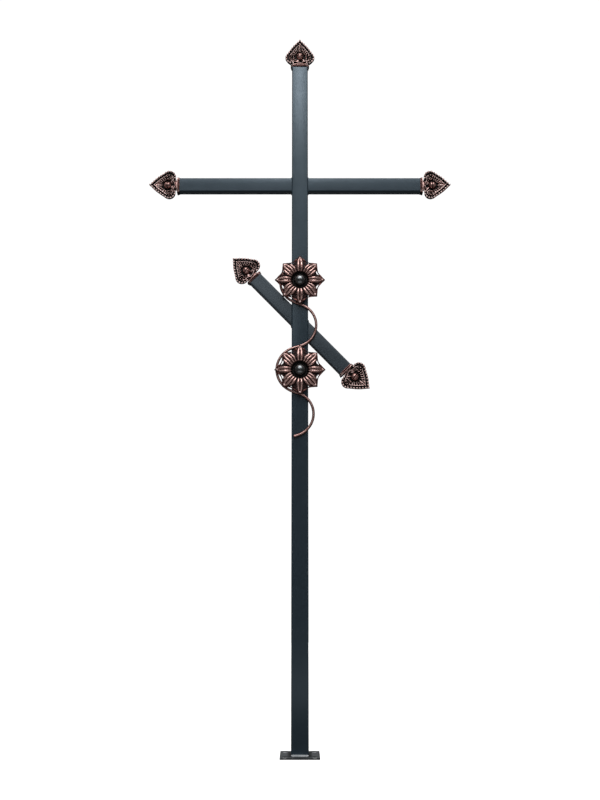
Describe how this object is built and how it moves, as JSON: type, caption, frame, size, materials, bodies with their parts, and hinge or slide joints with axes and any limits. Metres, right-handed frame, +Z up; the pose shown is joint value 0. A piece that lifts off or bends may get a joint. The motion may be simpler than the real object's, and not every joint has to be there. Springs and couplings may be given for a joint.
{
  "type": "grave cross",
  "caption": "Tall Orthodox grave cross of welded rectangular tube with a slanted lower bar, cast leaf tips, stamped flowers and a scroll rod, standing on a small foot plate.",
  "frame": {"origin": "middle of the foot plate's underside", "axes": "+Z up along the post, the front with the flowers faces -Y, +X to the viewer's right"},
  "size_m": [0.9378, 0.112, 2.185],
  "materials": {
    "blue_grey_paint": "satin",
    "dark_grey_paint": "satin",
    "brushed_copper_patina": "dark brown patina, dry-brushed with copper on the raised parts",
    "graphite": "semi-gloss"
  },
  "bodies": {
    "root": {"base_plate": "dark_grey_paint", "crossbar_left": "blue_grey_paint", "crossbar_right": "blue_grey_paint", "flower_ball_lower": "graphite", "flower_ball_upper": "graphite", "flower_lower": "brushed_copper_patina", "flower_upper": "brushed_copper_patina", "foot_weld_back": "dark_grey_paint", "foot_weld_front": "dark_grey_paint", "post": "blue_grey_paint", "scroll_rod": "brushed_copper_patina", "slanted_bar_lower": "blue_grey_paint", "slanted_bar_upper": "blue_grey_paint", "tip_left": "brushed_copper_patina", "tip_right": "brushed_copper_patina", "tip_slant_lower": "brushed_copper_patina", "tip_slant_upper": "brushed_copper_patina", "tip_top": "brushed_copper_patina"}
  },
  "joints": []
}
